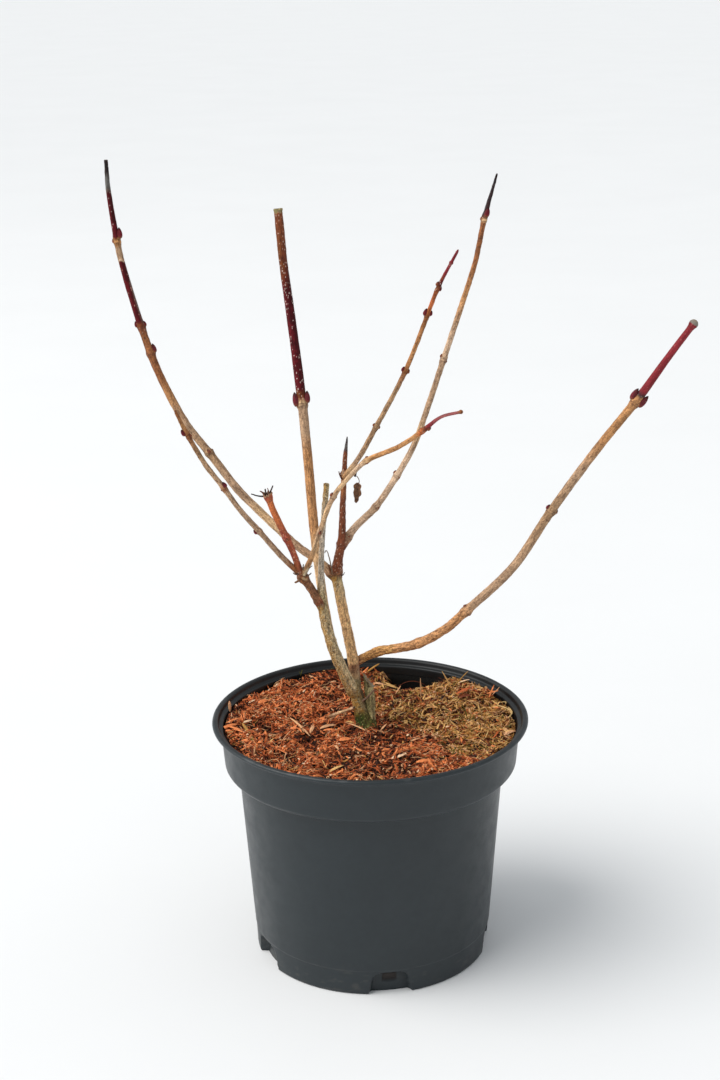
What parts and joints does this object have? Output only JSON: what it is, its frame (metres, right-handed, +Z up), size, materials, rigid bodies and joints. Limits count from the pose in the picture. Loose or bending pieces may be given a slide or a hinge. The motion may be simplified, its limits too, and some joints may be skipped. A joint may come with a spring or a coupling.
{
  "type": "potted shrub",
  "caption": "Bare deciduous shrub with a forked woody stem and long pruned shoots, growing in a round plastic nursery pot filled with coarse bark and coir mix.",
  "frame": {"origin": "centre of the pot's flat underside, on the surface it stands on", "axes": "+Z up along the pot's axis; +X to the right and +Y to the back, with the tallest shoot at the left and the lowest bough reaching out to the right"},
  "size_m": [0.3259, 0.1888, 0.4726],
  "materials": {
    "pot": "satin anthracite, moulded polypropylene",
    "growing_medium": "coarse orange-brown bark, coir and moss",
    "grey_bark": "weathered grey bark with algae",
    "tan_bark": "smooth tan bark with lenticels",
    "brown_bark": "red-brown bark with pale lenticels",
    "young_shoot": "dark red young bark with pale lenticels"
  },
  "bodies": {
    "root": {"pot": "pot", "growing_medium": "growing_medium", "trunk": "grey_bark", "broken_stub": "grey_bark", "stem_grey": "grey_bark", "snag_grey": "grey_bark", "limb_fork": "brown_bark", "bough_front_left": "tan_bark", "shoot_front_left": "young_shoot", "stub_red": "brown_bark", "bough_front_right": "tan_bark", "shoot_front_right": "young_shoot", "stem_centre": "tan_bark", "leader_lower": "brown_bark", "leader_dead": "brown_bark", "bough_inner_right": "tan_bark", "shoot_inner_right": "young_shoot", "bough_back_right": "tan_bark", "bough_back_high": "tan_bark", "shoot_back_right": "young_shoot", "bough_left": "tan_bark", "bough_left_high": "tan_bark", "shoot_left": "young_shoot", "tip_left": "young_shoot", "stem_back": "tan_bark", "shoot_back": "young_shoot", "bough_low_right": "tan_bark", "bough_low_middle": "tan_bark", "bough_low_outer": "tan_bark", "shoot_low_right": "young_shoot", "snapped_twig": "grey_bark"}
  },
  "joints": []
}
